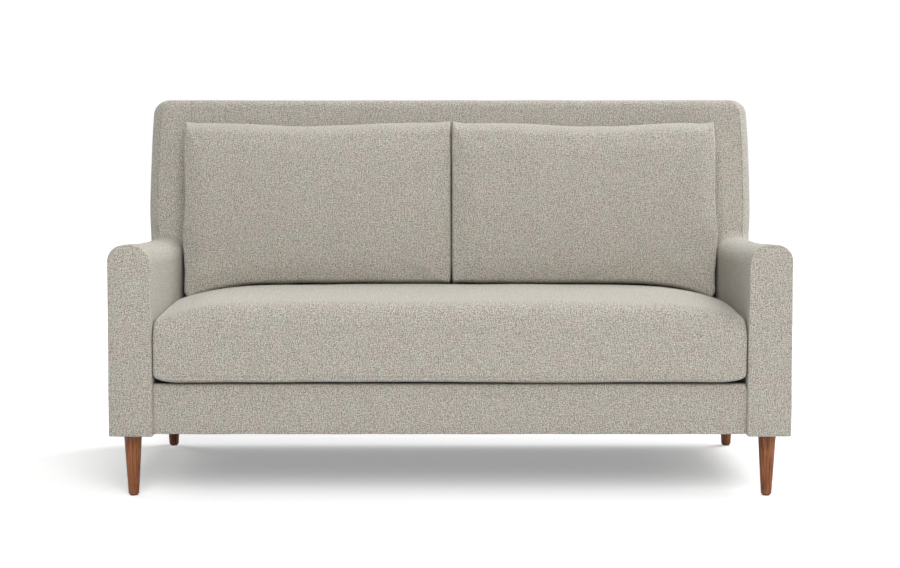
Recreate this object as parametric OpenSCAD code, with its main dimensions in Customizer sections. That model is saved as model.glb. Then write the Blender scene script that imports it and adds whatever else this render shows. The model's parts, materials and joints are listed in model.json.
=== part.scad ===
// High back settee: one bench seat cushion, two loose back cushions, padded arms that
// rise into wings beside a raked back, and four round tapered legs.
// Millimetres. +X is the viewer's right, the front faces -Y, the floor is z = 0, and the
// origin is the middle of the footprint. Left and right are the viewer's.

/* [Overall] */
// Width over the arms
overall_w = 1700; // [1500:10:1900]
// Depth from the arm fronts to the outside back
overall_d = 860; // [820:5:940]
// Height of the back above the floor
overall_h = 1000; // [940:5:1080]
// Height of the body's underside above the floor
base_h = 163; // [130:1:200]
// Height of the deck under the seat cushion
deck_h = 291; // [275:1:310]

/* [Arms and wings] */
// Width of each arm
arm_w = 105; // [95:1:130]
// Height of the arm top at the front
arm_h = 642; // [620:1:680]
// Fall of the arm top from its front to the wing
arm_fall = 29; // [10:1:45]
// Radius of the arm top's outer edge
arm_outer_round = 44; // [25:1:50]
// Radius of the arm top's inner edge
arm_inner_round = 50; // [25:1:50]
// Rounding of the seam round the arm front
arm_front_round = 7; // [3:1:12]
// Padding and cover on the arm frame's sides and front
arm_pad = 14; // [10:1:16]
// Padding and cover on top of the arm frame
arm_top_pad = 32; // [20:1:45]
// Width of each wing beside the inside back
wing_w = 112; // [100:1:125]
// Rounding of the wing's outer front edge
wing_round = 18; // [8:1:24]
// Rounding of the wing's inner front edge, beside the inside back
wing_seam_round = 5; // [2:1:8]
// Narrowing of each wing's outer side at its top
wing_taper = 8; // [0:1:12]
// Height of the stretch below the top that narrows
wing_taper_h = 240; // [120:10:300]

/* [Back] */
// Distance from the arm fronts to the inside back, at the deck
seat_space_d = 594; // [560:1:620]
// Lean of the inside back, in degrees
back_rake = 12.8; // [9:0.1:14]
// Lean of the outside back, in degrees
back_lean = 2.6; // [0.5:0.1:4]
// Rounding along the top of the back, front and rear
top_round = 22; // [12:1:28]
// Radius of the back's top corners, seen from the front
corner_round = 30; // [22:1:45]
// Padding and cover on the inside back, square to it
back_pad = 24; // [16:1:30]
// Padding and cover over the back's top rail
top_pad = 26; // [20:1:34]
// Padding between the frame and the outside back
rear_pad = 8; // [4:1:12]
// Thickness of the outside back panel
outside_t = 6; // [4:1:8]
// Distance of the outside back panel's side edges from the body's sides
outside_inset = 12; // [8:1:20]
// Open seam between the inside back and each wing
seam_gap = 0.5; // [0.3:0.1:1]

/* [Front rail and deck] */
// Distance of the front rail's face behind the arm fronts
rail_setback = 22; // [12:1:30]
// Padding and cover on the front rail's face
rail_pad = 10; // [6:1:14]
// Rounding along the front rail's top
rail_round = 9; // [5:1:14]
// Depth of the firm roll along the top of the front rail
edge_roll_d = 18; // [14:1:20]
// Thickness of the pad on the springs
deck_pad_t = 8; // [5:1:12]
// Thickness of the deck cloth
deck_cloth_t = 2; // [1:0.5:3]
// Thickness of the dust cloth under the frame
dust_cloth_t = 1.5; // [1:0.5:2.5]

/* [Frame] */
// Thickness of the frame's boards
board_t = 28; // [22:1:32]
// Height of the legs' corner blocks
leg_block_h = 60; // [45:1:70]
// Length of the legs' corner blocks, front to rear
leg_block_d = 70; // [64:1:90]
// Height of the stretchers under the springs
stretcher_h = 60; // [40:1:80]
// Side of the triangular glue blocks
glue_block_side = 60; // [40:1:80]
// Distance from the front rail's rear face to the rear spring rail
spring_bay_d = 580; // [520:1:600]
// Width of the back's top and lower rails
back_rail_w = 90; // [60:1:110]
// Distance of the back's lower rail above the deck, along the back
lower_rail_up = 60; // [30:1:100]
// Width of the back's uprights
upright_w = 60; // [40:1:80]
// Distance between the back's two uprights
upright_span = 500; // [300:10:800]
// Width of a back post's foot
post_foot_w = 118; // [110:1:130]
// Radius of the slot in each back post
post_slot_r = 24; // [14:1:28]
// Height of the slot in each back post, between its end centres
post_slot_h = 110; // [60:1:140]

/* [Springs and webbing] */
// Number of springs in each of the seat frame's three bays
bay_springs = 3; // [2:1:4]
// Width of each zigzag spring
spring_w = 50; // [44:1:60]
// Straight runs in each spring
spring_runs = 17; // [15:2:19]
// Diameter of the spring wire
wire_d = 3.8; // [3:0.1:4.2]
// Diameter of the cross tie wires
tie_d = 3; // [2:0.1:4]
// Number of cross tie wires
tie_count = 2; // [1:1:3]
// Thickness of the clips' steel
clip_t = 1.6; // [1:0.1:2]
// Width of each clip
clip_w = 15; // [10:1:18]
// Width of the back's elastic webbing
web_w = 50; // [40:1:60]
// Thickness of the webbing
web_t = 2; // [1.5:0.1:3]
// Space between webbing belts where they cross
web_gap = 0.2; // [0.1:0.1:0.5]
// Number of upright webbing belts
web_uprights = 10; // [6:1:11]
// Number of level webbing belts
web_levels = 3; // [2:1:4]

/* [Seat cushion] */
// Height of the seat cushion above the deck beside the arms
seat_side_h = 178; // [150:1:190]
// Extra height in the middle of the seat cushion
seat_crown = 33; // [15:1:45]
// Fall of the seat cushion's top towards its front
seat_front_fall = 8; // [4:1:20]
// Fall of the seat cushion's top towards its rear
seat_rear_fall = 14; // [0:1:20]
// Distance of the seat cushion's front behind the arm fronts
seat_front_inset = 3; // [2:1:16]
// Radius of the seat cushion's front roll
seat_front_round = 56; // [35:1:70]
// Radius of the seat cushion's other edges
seat_edge_round = 16; // [10:1:22]
// Fibre wrap and cover round a cushion's foam core
cushion_wrap = 11; // [8:1:14]
// Free space between a cushion and what it stands beside or on
cushion_gap = 0.8; // [0.5:0.1:2]

/* [Back cushions] */
// Thickness of a back cushion in its middle
back_cushion_t = 132; // [110:1:150]
// Thickness of a back cushion along its edges
back_cushion_edge_t = 46; // [36:1:60]
// Height of a back cushion's top corners above the floor
back_cushion_top = 934; // [900:1:950]
// Dip of a back cushion's top edge between its corners
back_cushion_dip = 10; // [0:1:20]
// Distance that a back cushion reaches over the wing's seam
back_cushion_reach = 6; // [0:1:7]

/* [Legs] */
// Distance of a leg's centre from the body's side
leg_side_inset = 46; // [42:1:52]
// Distance of the front legs' centres behind the arm fronts
leg_front_inset = 62; // [54:1:75]
// Distance of the rear legs' centres from the rear of the frame
leg_rear_inset = 40; // [34:1:50]
// Diameter of a leg at its top
leg_top_d = 46; // [38:1:52]
// Diameter of a leg at its foot
leg_foot_d = 27; // [22:1:34]
// Rounding of a leg's foot
leg_foot_round = 3; // [1:0.5:5]
// Diameter of the hanger bolts
bolt_d = 8; // [6:1:10]
// Length of a hanger bolt in the leg
bolt_in_leg = 34; // [25:1:45]
// Length of a hanger bolt in the corner block
bolt_in_block = 40; // [25:1:42]
// Side of the square leg plates
plate_side = 58; // [54:1:64]
// Thickness of the leg plates
plate_t = 3; // [2:0.5:4]
// Diameter of the plates' screw holes
plate_hole_d = 5; // [4:0.5:6]
// Distance of the screw holes from the plate's edges
plate_hole_inset = 9; // [7:0.5:11]
// Diameter of the glide under each leg
glide_d = 20; // [16:1:22]
// Height of the glide under each leg
glide_h = 3; // [2:0.5:4]
// Diameter of the glide's pin
glide_pin_d = 3; // [2:0.5:4]
// Length of the glide's pin
glide_pin_h = 14; // [8:1:20]

/* [Hidden] */
$fn = 48;

// Colours
fabric_colour = [0.70, 0.68, 0.63];
lining_colour = [0.16, 0.16, 0.16];
timber_colour = [0.80, 0.66, 0.46];
leg_colour = [0.42, 0.22, 0.14];
steel_colour = [0.62, 0.63, 0.65];
webbing_colour = [0.55, 0.48, 0.36];
foam_colour = [0.93, 0.90, 0.78];

// Overrun of every cut past the face that it opens
over = 1;
// Running clearance round wires, bolts and pins
hole_gap = 0.1;

// Main planes
half_w = overall_w / 2;
front_y = -overall_d / 2;
rake_slope = tan(back_rake);
lean_slope = tan(back_lean);
seat_x = half_w - arm_w;
panel_x = half_w - wing_w;
frame_z = base_h + plate_t;
round_start_z = overall_h - top_round;

// Depth of the inside back, the outside back and the back frame's two faces at height z
function inside_y(z) = front_y + seat_space_d + (z - deck_h) * rake_slope;
function outside_y(z) = -front_y - max(0, round_start_z - z) * lean_slope;
frame_face_in = back_pad + 2 * web_t + web_gap;
function frame_front_y(z) = inside_y(z) + frame_face_in / cos(back_rake);
function frame_rear_y(z) = outside_y(z) - (outside_t + rear_pad) / cos(back_lean);

// Arm frame
arm_frame_x0 = seat_x + arm_pad;
arm_frame_x1 = half_w - arm_pad;
arm_front_y = front_y + arm_pad;
post_x0 = arm_frame_x0 + board_t;
post_x1 = post_x0 + board_t;
arm_rear_h = arm_h - arm_fall;
wing_y = inside_y(arm_rear_h);
arm_slope = arm_fall / (wing_y - front_y);
function arm_top_z(y) = arm_h - (y - front_y) * arm_slope;
arm_rail_rear_z = arm_rear_h - arm_top_pad;
arm_rail_rear_y = frame_front_y(arm_rail_rear_z);
arm_rail_front_z = arm_h - arm_top_pad;
arm_rail_slope = (arm_rail_front_z - arm_rail_rear_z) / (arm_rail_rear_y - arm_front_y);
function arm_rail_z(y) = arm_rail_front_z - (y - arm_front_y) * arm_rail_slope;

// Seat frame
rail_y0 = front_y + rail_setback + rail_pad;
rail_y1 = rail_y0 + board_t;
spring_rail_y0 = rail_y1 + spring_bay_d;
base_rear_y1 = frame_rear_y(frame_z);
deck_pad_z = deck_h - deck_cloth_t - deck_pad_t;
rail_top_z = deck_pad_z - tie_d - wire_d - clip_t;
wire_z = rail_top_z + clip_t + wire_d / 2;
deck_y0 = front_y + rail_setback + edge_roll_d;
deck_y1 = spring_rail_y0 + board_t;

// Back frame, measured along the inside back from the deck
back_frame_len = (overall_h - top_pad - deck_h) / cos(back_rake);
post_top_z = overall_h - top_pad;
post_bottom_z = frame_z + leg_block_h;
post_slot_z = arm_rear_h - arm_top_pad - board_t - post_slot_r - post_slot_h;

// Legs
leg_x = half_w - leg_side_inset;
leg_ys = [front_y + leg_front_inset, base_rear_y1 - leg_rear_inset];
leg_block_ys = [arm_front_y + board_t, base_rear_y1 - leg_block_d];

// Seat cushion
seat_cushion_x = seat_x - cushion_gap;
seat_cushion_y0 = front_y + seat_front_inset;
seat_cushion_y1 = front_y + seat_space_d - cushion_gap;
seat_cushion_z = deck_h + cushion_gap;
seat_crown_power = 7;

// Back cushions
back_cushion_x0 = cushion_gap / 2;
back_cushion_x1 = panel_x + back_cushion_reach;
back_cushion_mid_x = (back_cushion_x0 + back_cushion_x1) / 2;
back_cushion_half = (back_cushion_x1 - back_cushion_x0) / 2;
// Powers that shape its fullness, across and up
across_power = 2.6;
up_power = 0.45;

// Springs, in three equal bays between the side rails and the two stretchers
bay_w = 2 * arm_frame_x0 / 3;
spring_pitch = bay_w / bay_springs;
spring_y0 = rail_y1 - wire_d - 2 * clip_t;
spring_y1 = spring_rail_y0 + wire_d + 2 * clip_t;
run_pitch = (spring_y1 - spring_y0) / (spring_runs - 1);
run_half = (spring_w - run_pitch) / 2;
wire_sides = 6;
bend_steps = 4;

function mix(a, b, t) = a + (b - a) * t;
function arc_points(cx, cy, rx, ry, a0, a1, steps) =
    [for (i = [0 : steps]) let (a = mix(a0, a1, i / steps)) [cx + rx * cos(a), cy + ry * sin(a)]];

// Solid through a list of rings, each a closed loop with the same number of points.
// The rings turn anticlockwise, seen from the last one.
module loft(rings) {
    n = len(rings[0]);
    last = len(rings) - 1;
    points = [for (ring = rings) each ring];
    sides = [for (k = [0 : last - 1], i = [0 : n - 1])
        let (j = (i + 1) % n) each [
            [k * n + i, (k + 1) * n + i, (k + 1) * n + j],
            [k * n + i, (k + 1) * n + j, k * n + j]]];
    first_cap = [for (i = [0 : n - 1]) i];
    last_cap = [for (i = [n - 1 : -1 : 0]) last * n + i];
    polyhedron(points = points, faces = concat(sides, [first_cap, last_cap]));
}

// Side view outline [y, z], extruded from x0 to x1
module side_prism(outline, x0, x1) {
    translate([x0, 0, 0])
        rotate([90, 0, 90])
            linear_extrude(x1 - x0)
                polygon(outline);
}

module block(x0, x1, y0, y1, z0, z1) {
    translate([x0, y0, z0])
        cube([x1 - x0, y1 - y0, z1 - z0]);
}

module mirrored_pair() {
    children();
    mirror([1, 0, 0]) children();
}

// Places children in the inside back's own plane: z up along it, y square to it, rearwards
module on_inside_back() {
    translate([0, front_y + seat_space_d, deck_h])
        rotate([-back_rake, 0, 0])
            children();
}

module at_legs() {
    for (side = [-1, 1], y = leg_ys)
        translate([side * leg_x, y, 0]) children();
}

// Arm: sections square to Y, with rounded top edges and a rounded front seam
function arm_ring(y, inset) =
    let (ro = min(arm_outer_round, arm_w / 2) - inset,
         ri = min(arm_inner_round, arm_w / 2) - inset,
         top = arm_top_z(y) - inset,
         x0 = seat_x + inset,
         x1 = half_w - inset,
         outline = concat(
            [[x0, base_h + inset], [x1, base_h + inset]],
            arc_points(x1 - ro, top - ro, ro, ro, 0, 90, 6),
            arc_points(x0 + ri, top - ri, ri, ri, 90, 180, 6)))
    [for (p = outline) [p[0], y, p[1]]];

// Narrowing of the body's sides at height z
taper_z = overall_h - wing_taper_h;
function taper_at(z) = wing_taper * pow(max(0, z - taper_z) / wing_taper_h, 2);

// Wing: level sections that follow the inside and outside back and round in at the top
function wing_ring(z) =
    let (corner_up = max(0, z - (overall_h - corner_round)) / corner_round,
         edge_up = max(0, z - round_start_z) / top_round,
         x1 = half_w - taper_at(z) - corner_round * (1 - sqrt(1 - pow(corner_up, 2))),
         inset = top_round * (1 - sqrt(1 - pow(edge_up, 2))),
         y0 = inside_y(z) + inset,
         y1 = outside_y(z) - inset,
         s = wing_seam_round,
         outline = concat(
            arc_points(panel_x + s, y0 + s, s, s, 180, 270, 2),
            arc_points(x1 - wing_round, y0 + wing_round, wing_round, wing_round, 270, 360, 4),
            arc_points(x1 - wing_round, y1 - wing_round, wing_round, wing_round, 0, 90, 4),
            [[panel_x, y1]]))
    [for (p = outline) [p[0], p[1], z]];

// Rings of the rounded edges, as shares of their radius
arm_front_shares = [1, 0.3, 0];
wing_taper_shares = [0, 0.35, 0.65];
wing_round_shares = [0, 0.3, 0.55, 0.75, 0.9, 1];

module arm_and_wing_form() {
    loft([
        arm_ring(wing_y + wing_w / 2, 0),
        arm_ring(wing_y, 0),
        for (share = arm_front_shares)
            arm_ring(front_y + share * arm_front_round,
                arm_front_round * (1 - sqrt(1 - pow(1 - share, 2))))]);
    loft([
        wing_ring(base_h),
        wing_ring(arm_rear_h),
        for (share = wing_taper_shares)
            wing_ring(mix(taper_z, overall_h - corner_round, share)),
        for (share = wing_round_shares)
            wing_ring(overall_h - corner_round * (1 - share))]);
}

// Hollow of the arm that the arm frame fills, open underneath
module arm_hollow() {
    side_prism([
        [arm_front_y, base_h - over],
        [arm_front_y, arm_rail_front_z],
        [arm_rail_rear_y, arm_rail_rear_z],
        [frame_rear_y(arm_rail_rear_z), arm_rail_rear_z],
        [frame_rear_y(base_h - over), base_h - over]],
        arm_frame_x0, arm_frame_x1);
}

// Way through the arm's and wing's inner wall for the seat frame and the back rails
module frame_openings() {
    block(panel_x - over, arm_frame_x0 + over, front_y + rail_setback,
        base_rear_y1, base_h - over, deck_h);
    on_inside_back()
        block(panel_x - over, post_x0 + over, back_pad, frame_face_in + board_t,
            lower_rail_up, back_frame_len);
}

module arm_cover_form() {
    difference() {
        arm_and_wing_form();
        arm_hollow();
        back_post_board(0);
        frame_openings();
        outside_back_form(over);
    }
}

module arm_cover_right() {
    color(fabric_colour) arm_cover_form();
}

module arm_cover_left() {
    color(fabric_colour) mirror([1, 0, 0]) arm_cover_form();
}

// Inside back: padding in front of the frame, over its top rail and down behind it
module inside_back_cover() {
    r = top_round;
    lip_z = post_top_z - back_rail_w;
    outer = concat(
        [[inside_y(deck_h), deck_h]],
        arc_points(inside_y(round_start_z) + r, round_start_z, r, r, 180, 90, 6),
        arc_points(outside_y(round_start_z) - r, round_start_z, r, r, 90, 0, 6),
        [[outside_y(lip_z), lip_z]]);
    inner = [
        [frame_rear_y(lip_z), lip_z],
        [frame_rear_y(post_top_z), post_top_z],
        [inside_y(post_top_z) + back_pad / cos(back_rake), post_top_z],
        [inside_y(deck_h) + back_pad / cos(back_rake), deck_h]];
    color(fabric_colour)
        difference() {
            side_prism(concat(outer, inner), -panel_x + seam_gap, panel_x - seam_gap);
            outside_back_form(over);
        }
}

// Outside back: one flat panel with rounded top corners; overrun thickens it outwards
module outside_back_form(overrun = 0) {
    x1 = half_w - outside_inset;
    x2 = x1 - taper_at(round_start_z);
    taper_up = (taper_z - base_h) / cos(back_lean);
    top = (round_start_z - base_h) / cos(back_lean);
    r = max(corner_round - outside_inset, outside_inset);
    translate([0, outside_y(base_h), base_h])
        rotate([90 - back_lean, 0, 0])
            translate([0, 0, -overrun])
                linear_extrude(outside_t + overrun)
                    polygon(concat(
                        [[-x1, taper_up], [-x1, 0], [x1, 0], [x1, taper_up]],
                        arc_points(x2 - r, top - r, r, r, 0, 90, 8),
                        arc_points(-x2 + r, top - r, r, r, 90, 180, 8)));
}

module outside_back_panel() {
    color(fabric_colour) outside_back_form();
}

// Front rail cover: padded face with a rounded top edge and a firm roll on top
module front_rail_cover() {
    y0 = front_y + rail_setback;
    color(fabric_colour)
        side_prism(concat(
            [[y0, base_h]],
            arc_points(y0 + rail_round, deck_h - rail_round, rail_round, rail_round, 180, 90, 6),
            [[deck_y0, deck_h], [deck_y0, rail_top_z], [rail_y0, rail_top_z], [rail_y0, base_h]]),
            -seat_x + seam_gap, seat_x - seam_gap);
}

module deck_pad() {
    color(foam_colour)
        block(-arm_frame_x0, arm_frame_x0, deck_y0, deck_y1, deck_pad_z, deck_pad_z + deck_pad_t);
}

module deck_cloth() {
    color(lining_colour)
        block(-arm_frame_x0, arm_frame_x0, deck_y0, deck_y1, deck_h - deck_cloth_t, deck_h);
}

// Dust cloth: stapled under the frame and cut out round the leg plates
module dust_cloth() {
    color(lining_colour)
        difference() {
            block(-arm_frame_x1, arm_frame_x1, rail_y0, frame_rear_y(frame_z - dust_cloth_t),
                frame_z - dust_cloth_t, frame_z);
            at_legs()
                translate([0, 0, frame_z - plate_t / 2])
                    cube([plate_side + 2 * over, plate_side + 2 * over, plate_t + over], center = true);
        }
}

// Frame of the seat
module front_rail() {
    color(timber_colour)
        block(-arm_frame_x0, arm_frame_x0, rail_y0, rail_y1, frame_z, rail_top_z);
}

module rear_spring_rail() {
    color(timber_colour)
        block(-arm_frame_x0, arm_frame_x0, spring_rail_y0, spring_rail_y0 + board_t,
            frame_z, rail_top_z);
}

module base_rear_rail() {
    color(timber_colour)
        block(-arm_frame_x0, arm_frame_x0, base_rear_y1 - board_t, base_rear_y1,
            frame_z, post_bottom_z);
}

module side_rail_form() {
    block(arm_frame_x0, post_x0, arm_front_y + board_t, base_rear_y1, frame_z, rail_top_z);
}

module side_rail_right() {
    color(timber_colour) side_rail_form();
}

module side_rail_left() {
    color(timber_colour) mirror([1, 0, 0]) side_rail_form();
}

module seat_stretchers() {
    color(timber_colour)
        for (side = [-1, 1])
            translate([side * bay_w / 2, 0, 0])
                block(-board_t / 2, board_t / 2, rail_y1, spring_rail_y0,
                    frame_z, frame_z + stretcher_h);
}

// Triangular blocks in the seat frame's four inner corners
module glue_blocks() {
    color(timber_colour)
        mirrored_pair() {
            glue_block(rail_y1, 1);
            glue_block(spring_rail_y0, -1);
        }
}

module glue_block(y, towards) {
    translate([arm_frame_x0, y, frame_z])
        linear_extrude(stretcher_h)
            polygon([[0, 0], [-glue_block_side, 0], [0, towards * glue_block_side]]);
}

module leg_blocks() {
    color(timber_colour)
        mirrored_pair()
            difference() {
                for (y = leg_block_ys)
                    block(post_x0, arm_frame_x1, y, y + leg_block_d, frame_z, post_bottom_z);
                for (y = leg_ys)
                    translate([leg_x, y, frame_z - over])
                        cylinder(d = bolt_d + 2 * hole_gap, h = bolt_in_block - plate_t + over);
            }
}

// Frame of the arms
module arm_front_post_form() {
    y0 = arm_front_y;
    y1 = arm_front_y + board_t;
    side_prism([
        [y0, frame_z],
        [y1, frame_z],
        [y1, arm_rail_z(y1) - board_t],
        [y0, arm_rail_z(y0) - board_t]],
        arm_frame_x0, arm_frame_x1);
}

module arm_front_post_right() {
    color(timber_colour) arm_front_post_form();
}

module arm_front_post_left() {
    color(timber_colour) mirror([1, 0, 0]) arm_front_post_form();
}

module arm_top_rail_form() {
    low_y = frame_front_y(arm_rail_rear_z - board_t);
    side_prism([
        [arm_front_y, arm_rail_front_z - board_t],
        [low_y, arm_rail_z(low_y) - board_t],
        [arm_rail_rear_y, arm_rail_rear_z],
        [arm_front_y, arm_rail_front_z]],
        arm_frame_x0, arm_frame_x1);
}

module arm_top_rail_right() {
    color(timber_colour) arm_top_rail_form();
}

module arm_top_rail_left() {
    color(timber_colour) mirror([1, 0, 0]) arm_top_rail_form();
}

// Back post: a sawn board that tapers upwards, lapped on the side rail, with a slot
module back_post_board(slot_r) {
    difference() {
        side_prism([
            [frame_rear_y(post_bottom_z) - post_foot_w, post_bottom_z],
            [frame_rear_y(post_bottom_z), post_bottom_z],
            [frame_rear_y(post_top_z), post_top_z],
            [frame_front_y(post_top_z), post_top_z],
            [frame_front_y(rail_top_z), rail_top_z]],
            post_x0, post_x1);
        if (slot_r > 0)
            back_post_slot(slot_r);
    }
}

module back_post_slot(slot_r) {
    y = (frame_front_y(post_slot_z) + frame_rear_y(post_slot_z)) / 2;
    translate([post_x0 - over, y, post_slot_z])
        rotate([90, 0, 90])
            linear_extrude(board_t + 2 * over) {
                circle(r = slot_r);
                translate([0, post_slot_h])
                    circle(r = slot_r);
                translate([-slot_r, 0])
                    square([2 * slot_r, post_slot_h]);
            }
}

module back_post_right() {
    color(timber_colour) back_post_board(post_slot_r);
}

module back_post_left() {
    color(timber_colour) mirror([1, 0, 0]) back_post_board(post_slot_r);
}

module back_rail_form(up) {
    on_inside_back()
        block(-post_x0, post_x0, frame_face_in, frame_face_in + board_t, up, up + back_rail_w);
}

module back_top_rail() {
    color(timber_colour) back_rail_form(back_frame_len - back_rail_w);
}

module back_lower_rail() {
    color(timber_colour) back_rail_form(lower_rail_up);
}

module back_uprights() {
    color(timber_colour)
        on_inside_back()
            for (side = [-1, 1])
                translate([side * upright_span / 2, 0, 0])
                    block(-upright_w / 2, upright_w / 2, frame_face_in, frame_face_in + board_t,
                        lower_rail_up + back_rail_w, back_frame_len - back_rail_w);
}

// Ring of the spring wire at a place on its centre line, square to its heading
function wire_ring(x, y, heading) =
    [for (k = [0 : wire_sides - 1])
        let (a = 360 * k / wire_sides - 90,
             side = wire_d / 2 * cos(a))
        [x - side * sin(heading), y + side * cos(heading), wire_z + wire_d / 2 * sin(a)]];

// Zigzag spring: straight runs along X joined by half round bends at alternate ends
module zigzag_spring() {
    bend_r = run_pitch / 2;
    bends = [for (k = [0 : spring_runs - 2], i = [0 : bend_steps])
        let (side = k % 2 == 0 ? 1 : -1,
             a = 180 * i / bend_steps - 90)
        wire_ring(side * (run_half + bend_r * cos(a)),
            spring_y0 + (k + 0.5) * run_pitch + bend_r * sin(a), 90 + side * a)];
    loft(concat(
        [wire_ring(-run_half, spring_y0, 0)],
        bends,
        [wire_ring(run_half, spring_y1, 0)]));
}

// Places children at every spring of the bays from first to last, -1 being the left one
module at_springs(first, last) {
    for (bay = [first : last], k = [0 : bay_springs - 1])
        translate([bay * bay_w + (k - (bay_springs - 1) / 2) * spring_pitch, 0, 0]) children();
}

module springs_left_bay() {
    color(steel_colour) at_springs(-1, -1) zigzag_spring();
}

module springs_middle_bay() {
    color(steel_colour) at_springs(0, 0) zigzag_spring();
}

module springs_right_bay() {
    color(steel_colour) at_springs(1, 1) zigzag_spring();
}

// Clip: steel strip on the rail that curls over the spring's end run
module spring_clip(y, inwards) {
    curl_r = wire_d / 2 + clip_t;
    translate([-clip_w / 2, y, wire_z])
        rotate([90, 0, 90])
            linear_extrude(clip_w)
                difference() {
                    union() {
                        circle(r = curl_r);
                        translate([min(0, -inwards * 2 * curl_r), -curl_r])
                            square([2 * curl_r, clip_t]);
                    }
                    circle(d = wire_d + 2 * hole_gap);
                    translate([min(0, inwards * curl_r), -wire_d / 2])
                        square([curl_r, wire_d]);
                }
}

module spring_clips() {
    color(steel_colour)
        at_springs(-1, 1) {
            spring_clip(spring_y0, 1);
            spring_clip(spring_y1, -1);
        }
}

// Tie wires lie across the springs' straight runs, nearest to even shares of their length
module spring_tie_wires() {
    half = 1.5 * bay_w - spring_pitch / 2 + spring_w / 2;
    color(steel_colour)
        for (k = [1 : tie_count])
            let (run = round((spring_runs - 1) * k / (tie_count + 1)))
                translate([-half, spring_y0 + run * run_pitch, wire_z + (wire_d + tie_d) / 2])
                    rotate([0, 90, 0])
                        cylinder(d = tie_d, h = 2 * half);
}

// Webbing: upright belts on the padding's side, level belts on the frame
module back_webbing() {
    pitch = 2 * panel_x / web_uprights;
    low = lower_rail_up;
    level_pitch = (back_frame_len - low) / (web_levels + 1);
    color(webbing_colour)
        on_inside_back() {
            for (k = [0 : web_uprights - 1])
                translate([(k - (web_uprights - 1) / 2) * pitch, 0, 0])
                    block(-web_w / 2, web_w / 2, back_pad, back_pad + web_t, low, back_frame_len);
            for (k = [1 : web_levels])
                translate([0, 0, low + k * level_pitch])
                    block(-post_x0, post_x0, frame_face_in - web_t, frame_face_in, -web_w / 2, web_w / 2);
        }
}

// Legs
module leg_plates() {
    hole_at = plate_side / 2 - plate_hole_inset;
    color(steel_colour)
        at_legs()
            translate([0, 0, base_h])
                difference() {
                    translate([-plate_side / 2, -plate_side / 2, 0])
                        cube([plate_side, plate_side, plate_t]);
                    translate([0, 0, -over])
                        cylinder(d = bolt_d + 2 * hole_gap, h = plate_t + 2 * over);
                    for (x = [-hole_at, hole_at], y = [-hole_at, hole_at])
                        translate([x, y, -over])
                            cylinder(d = plate_hole_d, h = plate_t + 2 * over);
                }
}

module hanger_bolts() {
    color(steel_colour)
        at_legs()
            translate([0, 0, base_h - bolt_in_leg])
                cylinder(d = bolt_d, h = bolt_in_leg + bolt_in_block);
}

// Leg: round taper with a rounded foot, bored for its bolt and its glide's pin
module leg(side, y) {
    r0 = leg_foot_d / 2;
    r1 = leg_top_d / 2;
    fr = leg_foot_round;
    color(leg_colour)
        translate([side * leg_x, y, 0])
            difference() {
                rotate_extrude()
                    polygon(concat(
                        [[0, glide_h]],
                        arc_points(r0 - fr, glide_h + fr, fr, fr, -90, 0, 4),
                        [[r1, base_h], [0, base_h]]));
                translate([0, 0, base_h - bolt_in_leg])
                    cylinder(d = bolt_d + 2 * hole_gap, h = bolt_in_leg + over);
                translate([0, 0, glide_h - over])
                    cylinder(d = glide_pin_d + 2 * hole_gap, h = glide_pin_h + over);
            }
}

module leg_front_left() { leg(-1, leg_ys[0]); }
module leg_front_right() { leg(1, leg_ys[0]); }
module leg_rear_left() { leg(-1, leg_ys[1]); }
module leg_rear_right() { leg(1, leg_ys[1]); }

module leg_glides() {
    color(lining_colour)
        at_legs() {
            cylinder(d = glide_d, h = glide_h);
            cylinder(d = glide_pin_d, h = glide_h + glide_pin_h);
        }
}

// Height of the seat cushion's top at a place across it
function seat_top_z(x) =
    deck_h + seat_side_h
    + seat_crown * (1 - pow(min(1, abs(x) / seat_cushion_x), seat_crown_power));

// Fall of its top from the middle, at a share of the way from its front to its rear
seat_along_shares = [0.25, 0.5, 0.75];
function seat_fall(share) =
    (share < 0.5 ? seat_front_fall : seat_rear_fall) * pow(1 - 2 * share, 2);

// Seat cushion: side view sections, crowned across, with a rolled front and soft ends
function seat_ring(x, inset) =
    let (y0 = seat_cushion_y0 + inset,
         y1 = seat_cushion_y1 - inset,
         z0 = seat_cushion_z + inset,
         z1 = seat_top_z(x) - inset,
         e = max(seat_edge_round - inset / 2, seat_edge_round / 2),
         f = max(seat_front_round - inset, seat_edge_round),
         z_rear = z1 - seat_rear_fall,
         outline = concat(
            arc_points(y0 + e, z0 + e, e, e, 270, 180, 2),
            arc_points(y0 + f, z1 - seat_front_fall - f, f, f, 180, 90, 6),
            [for (share = seat_along_shares) [mix(y0 + f, y1 - e, share), z1 - seat_fall(share)]],
            arc_points(y1 - e, z_rear - e, e, e, 90, 0, 3),
            arc_points(y1 - e, z0 + e, e, e, 0, -90, 2)))
    [for (p = outline) [x, p[0], p[1]]];

// Places across the cushion as shares of half its width, from its middle outwards
seat_across_shares = [0, 0.5, 0.7, 0.82, 0.92];
// The end's rounding, as shares of its radius
seat_end_shares = [1, 0.6, 0.25, 0];

module seat_cushion_form(wrap) {
    e = seat_edge_round;
    end_x = seat_cushion_x - wrap;
    right = concat(
        [for (share = seat_across_shares) seat_ring(share * (end_x - e), wrap)],
        [for (share = seat_end_shares)
            seat_ring(end_x - e * share, wrap + e * (1 - sqrt(1 - pow(1 - share, 2))))]);
    left = [for (k = [1 : len(right) - 1]) [for (p = right[k]) [-p[0], p[1], p[2]]]];
    loft(concat([for (k = [len(right) - 1 : -1 : 0]) right[k]], left));
}

module seat_cushion_cover() {
    color(fabric_colour)
        difference() {
            seat_cushion_form(0);
            seat_cushion_form(cushion_wrap);
        }
}

module seat_cushion_core() {
    color(foam_colour) seat_cushion_form(cushion_wrap);
}

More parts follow.
